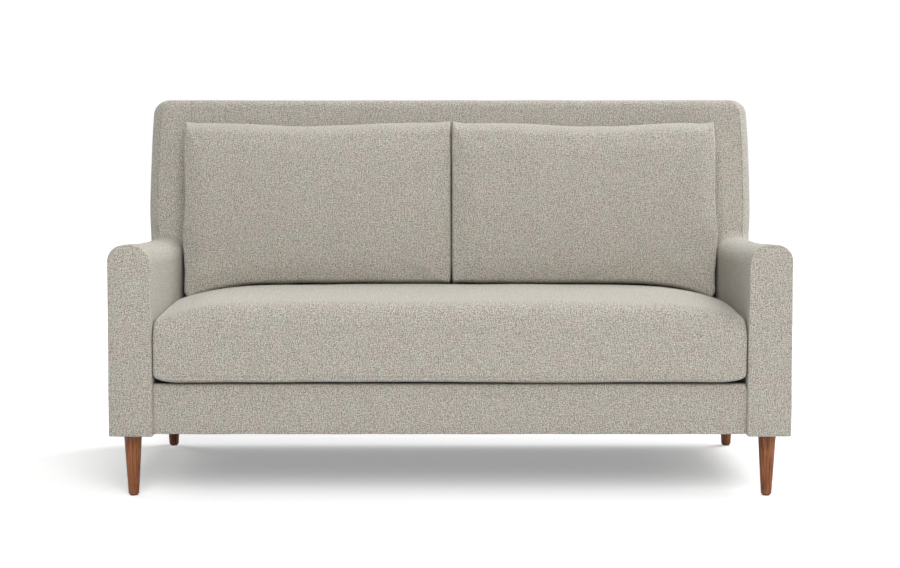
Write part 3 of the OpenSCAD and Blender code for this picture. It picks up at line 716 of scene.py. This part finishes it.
# Outside back: one lightly padded panel, sewn in between the wings' rear edges
# Insets of its outlines from the edge, and how far each stands out
PANEL_STEPS = ((0.0, -0.006), (0.0, -0.0008), (0.0006, 0.0004), (0.002, 0.0012), (0.005, 0.0018),
               (0.012, 0.0022), (0.03, 0.0026), (0.07, 0.003), (0.13, 0.0032), (0.22, 0.0032), (0.31, 0.0032))
PANEL_CORNER = 0.018
PANEL_LEAST_CORNER = 0.004
PANEL_SIDE_GAP = HALF_W - PANEL_BOX[1][0]


def panel_outline(inset):
    """Outline of the outside back seen from behind, made smaller all round by inset."""
    r = max(PANEL_CORNER - inset / 4, PANEL_LEAST_CORNER)
    z0 = PANEL_BOX[0][2] + inset
    z1 = PANEL_BOX[1][2] - inset
    heights = [z0 + (z1 - r - z0) * k / 40 for k in range(41)]
    half = [(wing_side(z) - PANEL_SIDE_GAP - inset, z) for z in heights]
    x1 = half[-1][0]
    corner = arc((x1 - r, z1 - r), r, 0, 90, 6)[1:] + [(x1 - r, z1)]
    right = half + corner
    top = line((x1 - r, z1), (-x1 + r, z1), 40)[1:]
    left = [(-x, z) for x, z in reversed(right)]
    bottom = line((-half[0][0], z0), (half[0][0], z0), 40)[1:]
    return right + top + left + bottom


def outside_back(name):
    rings = []
    for inset, out in PANEL_STEPS:
        rings.append([(x, outside_y(z) + out, z) for x, z in panel_outline(inset)])
    piece = loft(name, rings)
    soften(piece, 0.0010, 0.17, 31)
    shade(piece)
    return piece


dress(outside_back("outside_back"), "root", "upholstery", CLOTH, "outside_back_panel")

# Front rail: a padded face with a rounded top edge and a turned hem
RAIL_ROUND = 0.006
RAIL_ROLL = 0.018
RAIL_CORNER_RIGHT = 0.020
RAIL_CORNER_LEFT = 0.005
RAIL_TUCK = 0.0015
RAIL_RIM_SHARE = 0.03
HEM_H = 0.005


def rail_section(x):
    """Section of the front rail's cover square to X, with a turned hem along its foot."""
    y0 = RAIL_BOX[0][1]
    y1 = RAIL_BOX[1][1]
    r = RAIL_ROUND
    end = SEAT_X + RAIL_TUCK
    z1 = DECK_Z - drop(end - x, RAIL_CORNER_RIGHT) - drop(end + x, RAIL_CORNER_LEFT)
    hem = [(y0 + 0.0022, BASE_Z), (y0 + 0.0006, BASE_Z + 0.001), (y0, BASE_Z + 0.0025),
           (y0, BASE_Z + HEM_H - 0.0012), (y0 + 0.0007, BASE_Z + HEM_H), (y0, BASE_Z + HEM_H + 0.0012)]
    return (line((y0 + RAIL_ROLL / 2, BASE_Z), (y0 + 0.0022, BASE_Z), 2) + hem
            + line((y0, BASE_Z + 0.008), (y0, z1 - r), 16) + arc((y0 + r, z1 - r), r, 180, 90, 8)
            + line((y0 + r, z1), (y1, z1), 4) + line((y1, z1), (y1, z1 - RAIL_ROLL), 2)
            + line((y1, z1 - RAIL_ROLL), (y0 + RAIL_ROLL / 2, z1 - RAIL_ROLL), 2))


def front_rail(name):
    end = SEAT_X + RAIL_TUCK
    places = places_across(end, end * RAIL_RIM_SHARE, 90)
    piece = loft(name, [[(x, y, z) for y, z in rail_section(x)] for x in places])
    soften(piece, 0.0008, 0.12, 12)
    # The seat cushion slides over it
    for v in piece.data.vertices:
        v.co.z = min(v.co.z, DECK_Z)
    shade(piece)
    return piece


dress(front_rail("front_rail_face"), "root", "upholstery", CLOTH, "front_rail_cover")

# Seat cushion: crowned across, rolled over its front, with a seam low on its front face
SEAT_SIDE_Z = DECK_Z + 0.178
SEAT_CROWN = 0.033
SEAT_CROWN_POWER = 7.0
SEAT_FRONT_FALL = 0.008
SEAT_REAR_FALL = 0.014
SEAT_CREST = 0.54
SEAT_END_FALL = 0.008
SEAT_END_FALL_W = 0.185
SEAT_END_POWER = 1.5
SEAT_RIM = 0.03
SEAT_ROLL = 0.056
SEAT_EDGE = 0.012
SEAT_UNDER = 0.0055
SEAT_UNDER_D = 0.05
SEAT_UNDER_H = 0.02
SEAT_CORNER = 0.007
SEAT_LIFT = 0.017
SEAT_LIFT_W = 0.065
SEAT_LIFT_D = 0.12
SEAT_LIFT_H = 0.07
SEAT_SEAM_Z = 0.018
SEAT_SEAM_HALF = 0.0032
SEAT_SEAM_DEPTH = 0.0024
SEAT_SEAM_FADE = 0.03
SEAT_SEAM_END = 0.05
SEAT_CLEAR = 0.0003
SEAT_END = SEAT_BOX[1][0] - 0.0025
SEAT_Y0 = SEAT_BOX[0][1] - 0.002
SEAT_Y1 = SEAT_BOX[1][1]
SEAT_Z0 = SEAT_BOX[0][2]


def seat_top(x, y):
    """Height of the seat cushion's top: crowned, falling to the front, the rear and the ends."""
    along = (y - SEAT_Y0) / (SEAT_Y1 - SEAT_Y0)
    across = min(1.0, abs(x) / SEAT_END) ** SEAT_CROWN_POWER
    if along < SEAT_CREST:
        fall = SEAT_FRONT_FALL * ((SEAT_CREST - along) / SEAT_CREST) ** 2
    else:
        fall = SEAT_REAR_FALL * ((along - SEAT_CREST) / (1 - SEAT_CREST)) ** 2
    fall += SEAT_END_FALL * clamp(1 - (SEAT_END - abs(x)) / SEAT_END_FALL_W) ** SEAT_END_POWER
    return SEAT_SIDE_Z + SEAT_CROWN * (1 - across) - fall


def seat_section(x):
    """Section of the seat cushion square to X; the front corners and the front's foot are lifted."""
    low = drop(SEAT_END - abs(x), SEAT_EDGE)
    corner = drop(SEAT_END - abs(x), SEAT_CORNER)
    y0 = SEAT_Y0 + corner
    y1 = SEAT_Y1 - corner
    z0 = SEAT_Z0 + low
    e = SEAT_EDGE - low / 2
    f = SEAT_ROLL - low / 2
    roll_z = seat_top(x, y0 + f) - low - f
    rear_z = seat_top(x, y1 - e) - low - e
    seam = SEAT_Z0 + SEAT_SEAM_Z
    face = [(y0, max(seam + SEAT_SEAM_HALF * k / 2, z0 + e + 0.0003 * (k + 3))) for k in range(-2, 3)]
    outline = (arc((y0 + e, z0 + e), e, 270, 180, 8) + face
               + line((y0, max(z0 + e, seam + 0.004)), (y0, roll_z), 16)
               + arc((y0 + f, roll_z), f, 180, 90, 16))
    depths = [y0 + f + (y1 - e - y0 - f) * k / 36 for k in range(36)]
    outline += [(y, seat_top(x, y) - low) for y in depths]
    outline += (arc((y1 - e, rear_z), e, 90, 0, 6) + line((y1, rear_z), (y1, z0 + e), 10)
                + arc((y1 - e, z0 + e), e, 0, -90, 6) + line((y1 - e, z0), (y0 + e, z0), 30))
    out = clamp((abs(x) - SEAT_END + SEAT_LIFT_W) / SEAT_LIFT_W)
    lift = SEAT_LIFT * (1 - math.sqrt(max(0.0, 1 - out ** 2)))
    ring = []
    for y, z in outline:
        back = y - SEAT_Y0
        up = z - SEAT_Z0
        raised = lift * (1 - ease(back / SEAT_LIFT_D)) * clamp(1 - up / SEAT_LIFT_H)
        raised += SEAT_UNDER * (1 - ease(back / SEAT_UNDER_D)) * clamp(1 - up / SEAT_UNDER_H)
        ring.append((x, y, z + raised))
    return ring


def sew_seat_seam(piece):
    """Presses the seam into the front face, and lets it run out before the corners."""
    for v in piece.data.vertices:
        if v.co.y < SEAT_Y0 + 0.02:
            fade = 1 - ease((abs(v.co.x) - SEAT_END + SEAT_SEAM_END) / SEAT_SEAM_FADE)
            v.co.y += SEAT_SEAM_DEPTH * hill(v.co.z - SEAT_Z0 - SEAT_SEAM_Z, SEAT_SEAM_HALF) * fade


def seat_cushion(name):
    piece = loft(name, [seat_section(x) for x in places_across(SEAT_END, SEAT_RIM, 150)])
    sew_seat_seam(piece)
    soften(piece, 0.0022, 0.16, 15)
    # It lies flat on the deck and slides over the rail
    for v in piece.data.vertices:
        v.co.z = max(v.co.z, SEAT_Z0 + SEAT_CLEAR)
    shade(piece, 180.0)
    return piece


seat = seat_cushion("seat_cushion")
dress(seat, "seat_cushion", "upholstery", CLOTH, "seat_cushion_cover")

# Back cushions: two sewn sheets that meet in a seam along every edge, filled and leaning on the back
CUSHION_TOP = CUSHION_BOX[1][2] + 0.0075
CUSHION_DIP = 0.0095
CUSHION_DIP_AT = 0.54
CUSHION_DIP_HALF = 0.36
CUSHION_EAR = 0.004
CUSHION_EAR_SHARE = 0.05
CUSHION_FOOT = 0.0018
CUSHION_EDGE_T = 0.106
CUSHION_ROLL_T = 0.012
CUSHION_ROLL_W = 0.080
CUSHION_CROWN_T = 0.016
CUSHION_SEAM_T = 0.066
CUSHION_INNER_EDGE = 0.0045
CUSHION_OUTER_EDGE = 0.0055
CUSHION_TOP_EDGE = 0.026
CUSHION_FOOT_EDGE = 0.014
CUSHION_OUTER = 0.7510
CUSHION_MEET = 0.0036
CUSHION_CLEAR = 0.0007
CUSHION_SQUEEZE = 0.0045
CUSHION_BACK_GAP = 0.0012
CUSHION_FILL = 0.004
CALM_ROUNDS = 10
CALM_REACH = 0.045
CALM_LOW = 0.012
EDGE_STEPS = (0.0, 0.0008, 0.0022, 0.0045, 0.0075, 0.011, 0.0155, 0.021, 0.027)
# Shift of the outer and inner edges at shares of the cushion's height, from its foot to its top
OUTER_WAVE = ((0.0, -0.022), (0.05, -0.0105), (0.14, -0.0105), (0.235, -0.006), (0.31, -0.0025),
              (0.37, -0.001), (0.45, -0.0035), (0.52, -0.006), (0.61, -0.0062), (0.70, -0.0045),
              (0.79, -0.0025), (0.87, -0.001), (0.92, -0.0005), (0.965, -0.002), (1.0, -0.004))
INNER_WAVE = ((0.0, 0.005), (0.04, 0.001), (0.12, 0.0), (0.93, 0.0), (0.985, 0.003), (1.0, 0.007))
# Shares of the width over which they fade
OUTER_REACH = 0.5
INNER_REACH = 0.15


def along_wave(wave, share):
    """A smooth value between the chosen places of a wave."""
    for (a, low), (b, high) in zip(wave, wave[1:]):
        if share <= b:
            return low + (high - low) * ease((share - a) / (b - a))
    return wave[-1][1]


def spaced(start, end, count):
    """Places from start to end, close together near both ends."""
    rim = EDGE_STEPS[-1]
    middle = [start + rim + (end - start - 2 * rim) * k / count for k in range(1, count)]
    return [start + d for d in EDGE_STEPS] + middle + [end - d for d in reversed(EDGE_STEPS)]


def roll(distance):
    """Share of the fill that a cushion has gained at a distance from its edge."""
    return 1 - (1 - clamp(distance / CUSHION_ROLL_W)) ** 3


def cushion_sheets(x0, x1):
    """Front and back sheet of the right cushion as grids of points with a shared rim."""
    front = []
    back = []
    for x in spaced(x0, x1, 80):
        u = (x - x0) / (x1 - x0)
        foot = seat_top(x, SEAT_Y1) + CUSHION_FOOT
        dip = math.cos(math.pi / 2 * clamp((u - CUSHION_DIP_AT) / CUSHION_DIP_HALF, -1.0, 1.0)) ** 2
        ears = CUSHION_EAR * (1 - ease(min(u, 1 - u) / CUSHION_EAR_SHARE))
        top = CUSHION_TOP - CUSHION_DIP * dip - CUSHION_EAR + ears
        side = ((1 - drop(x - x0, CUSHION_INNER_EDGE) / CUSHION_INNER_EDGE)
                * (1 - drop(x1 - x, CUSHION_OUTER_EDGE) / CUSHION_OUTER_EDGE))
        front_column = []
        back_column = []
        for z in spaced(foot, top, 56):
            s = (z - foot) / (top - foot)
            rolled = roll(min(x - x0, x1 - x)) * roll(min(z - foot, top - z))
            crown = 16 * u * (1 - u) * s * (1 - s)
            full = CUSHION_EDGE_T + CUSHION_ROLL_T * rolled + CUSHION_CROWN_T * crown
            rim = (side * (1 - drop(z - foot, CUSHION_FOOT_EDGE) / CUSHION_FOOT_EDGE)
                   * (1 - drop(top - z, CUSHION_TOP_EDGE) / CUSHION_TOP_EDGE))
            shift = along_wave(OUTER_WAVE, s) * ease(1 - (1 - u) / OUTER_REACH)
            shift += along_wave(INNER_WAVE, s) * ease(1 - u / INNER_REACH)
            plane = inside_y(z) - CUSHION_BACK_GAP
            front_column.append((x + shift, plane - CUSHION_SEAM_T - (full - CUSHION_SEAM_T) * rim, z))
            back_column.append((x + shift, plane - CUSHION_SEAM_T * (1 - rim), z))
        front.append(front_column)
        back.append(back_column)
    return front, back


def calm(piece, place, reach):
    """Evens out the folds of a surface round a place."""
    shell = bmesh.new()
    shell.from_mesh(piece.data)
    near = [v for v in shell.verts if (v.co - place).length < reach]
    for step in range(CALM_ROUNDS):
        bmesh.ops.smooth_vert(shell, verts=near, factor=0.5,
                              use_axis_x=True, use_axis_y=True, use_axis_z=True)
    shell.to_mesh(piece.data)
    shell.free()


def back_cushion(name, x0, x1, seed):
    """A right back cushion from x0 to x1: its two sheets are joined at the rim, filled and smoothed."""
    front, back = cushion_sheets(x0 - CUSHION_SQUEEZE, x1)
    rows = len(front[0])
    count = len(front) * rows
    points = [p for sheet in (front, back) for column in sheet for p in column]
    faces = []
    for sheet in (0, count):
        for i in range(len(front) - 1):
            for j in range(rows - 1):
                a = sheet + i * rows + j
                faces.append((a, a + rows, a + rows + 1, a + 1))
    piece = add_object(name, mesh_from(name, points, faces))
    held = [v.index for v in piece.data.vertices if v.co.y > inside_y(v.co.z) - CUSHION_SEAM_T - 0.001]
    inflate(piece, CUSHION_FILL, held)
    corner = Vector((x1, inside_y(CUSHION_TOP) - CUSHION_EDGE_T, CUSHION_TOP - CALM_LOW))
    calm(piece, corner, CALM_REACH)
    subdivide(piece)
    soften(piece, 0.0022, 0.10, seed)
    soften(piece, 0.0008, 0.035, seed + 3)
    # The two cushions press flat against each other where they meet
    for v in piece.data.vertices:
        v.co.x = max(v.co.x, x0)
    shade(piece, 180.0)
    return piece


# They meet a little to the right of the middle
for side, inner, seed in (("right", CUSHION_CLEAR + CUSHION_MEET, 21),
                          ("left", CUSHION_CLEAR - CUSHION_MEET, 27)):
    cushion = back_cushion("back_cushion_" + side, inner, CUSHION_OUTER, seed)
    if side == "left":
        mirror(cushion)
    dress(cushion, "back_cushion_" + side, "upholstery", CLOTH, "back_cushion_cover_" + side)

# Every other construction piece keeps its shape and takes its slot's material
for row in frame["record"]["subparts"]:
    node = bpy.data.objects.get(row["node"])
    if node is not None and node.type == "MESH":
        node.data.materials.clear()
        node.data.materials.append(SLOT_MATERIALS[row["material_slot"]])

# Camera, from the fit to the photograph's 900 x 568 frame
FOCAL_PX = 1900.0
FRAME_PX = 900.0
HORIZON_PX = 102.0
MIDDLE_PX = 284.0
CAMERA_AWAY = 4.699
CAMERA_UP = 0.995
camera = bpy.data.objects.new("camera", bpy.data.cameras.new("camera"))
bpy.context.scene.collection.objects.link(camera)
camera.data.sensor_width = 36.0
camera.data.lens = camera.data.sensor_width * FOCAL_PX / FRAME_PX
camera.location = (0.0, FRONT_Y - CAMERA_AWAY, CAMERA_UP)
camera.rotation_euler = (math.pi / 2 - math.atan((MIDDLE_PX - HORIZON_PX) / FOCAL_PX), 0.0, 0.0)
bpy.context.scene.camera = camera

# Floor: pale, white to the camera away from the object, with the object's real shadow kept. Its glow is
# weakest in a box round SHADE_MIDDLE and full at GLOW_RISE metres from that box; the weaker glow near the
# object is painted shade round its real shadow.
FLOOR_HALF = 30.0
FLOOR_GLOW = 0.335
GLOW_RISE = 1.6
SHADE_MIDDLE = (0.0, 0.19, 0.0)
SHADE_HALF = (0.78, 0.27, 0.0)


def floor():
    """A pale floor that also glows to the camera, more the further it lies from the object, so it is darker
    near the object: painted shade.
    """
    s = FLOOR_HALF
    mesh = bpy.data.meshes.new("floor")
    mesh.from_pydata([(-s, -s, 0), (s, -s, 0), (s, s, 0), (-s, s, 0)], [], [(0, 1, 2, 3)])
    material, n = new_material("floor")
    n.surface({"Base Color": (0.80, 0.80, 0.80, 1.0), "Roughness": 1.0, "Specular IOR Level": 0.0})
    from_middle = n.vector_math("ABSOLUTE", n.vector_math("SUBTRACT", n.place(), SHADE_MIDDLE))
    beyond = n.vector_math("MAXIMUM", n.vector_math("SUBTRACT", from_middle, SHADE_HALF), (0.0, 0.0, 0.0))
    # The glow rises with distance from the box: painted shade on the floor near the object, added to its real
    # shadow.
    away = n.add("ShaderNodeMapRange")
    n.link(n.vector_math("LENGTH", beyond), away.inputs["Value"])
    away.inputs["From Min"].default_value = 0.0
    away.inputs["From Max"].default_value = GLOW_RISE
    away.inputs["To Min"].default_value = FLOOR_GLOW
    away.inputs["To Max"].default_value = 1.0
    glow = n.add("ShaderNodeEmission")
    n.link(n.math("MULTIPLY", n.seen(), away.outputs["Result"]), glow.inputs["Strength"])
    both = n.add("ShaderNodeAddShader")
    n.link(n.shader.outputs[0], both.inputs[0])
    n.link(glow.outputs[0], both.inputs[1])
    n.link(both.outputs[0], n.tree.nodes["Material Output"].inputs["Surface"])
    mesh.materials.append(material)
    add_object("floor", mesh)


floor()

# Lamps: name, turn from the front towards the right and rise in degrees, size in metres, power in watts
LAMP_AWAY = 7.0
LAMP_AIM = Vector((0.0, 0.0, 0.45))
LAMPS = (("front", 2.0, 33.0, 4.0, 342.0), ("right", 90.0, 33.0, 3.0, 103.0),
         ("rear_right", 125.0, 48.0, 3.0, 358.0), ("rear_left", -130.0, 33.0, 3.0, 112.0),
         ("top_front", 0.0, 60.0, 3.0, 85.0))


def area_light(name, turn, rise, size, power):
    """A soft square lamp that points at the object."""
    lamp = bpy.data.lights.new(name, "AREA")
    lamp.shape = "SQUARE"
    lamp.size = size
    lamp.energy = power
    piece = bpy.data.objects.new(name, lamp)
    bpy.context.scene.collection.objects.link(piece)
    turn = math.radians(turn)
    rise = math.radians(rise)
    way = Vector((math.sin(turn) * math.cos(rise), -math.cos(turn) * math.cos(rise), math.sin(rise)))
    piece.location = LAMP_AIM + way * LAMP_AWAY
    piece.rotation_euler = way.to_track_quat("Z", "Y").to_euler()


for row in LAMPS:
    area_light(*row)


def sky():
    """White to the camera and in reflections; it lights nothing."""
    world = bpy.data.worlds.new("studio")
    bpy.context.scene.world = world
    world.use_nodes = True
    n = Nodes(world.node_tree)
    background = world.node_tree.nodes["Background"]
    background.inputs["Color"].default_value = (1.0, 1.0, 1.0, 1.0)
    n.link(n.seen(), background.inputs["Strength"])


sky()
bpy.context.scene.view_settings.view_transform = "Standard"
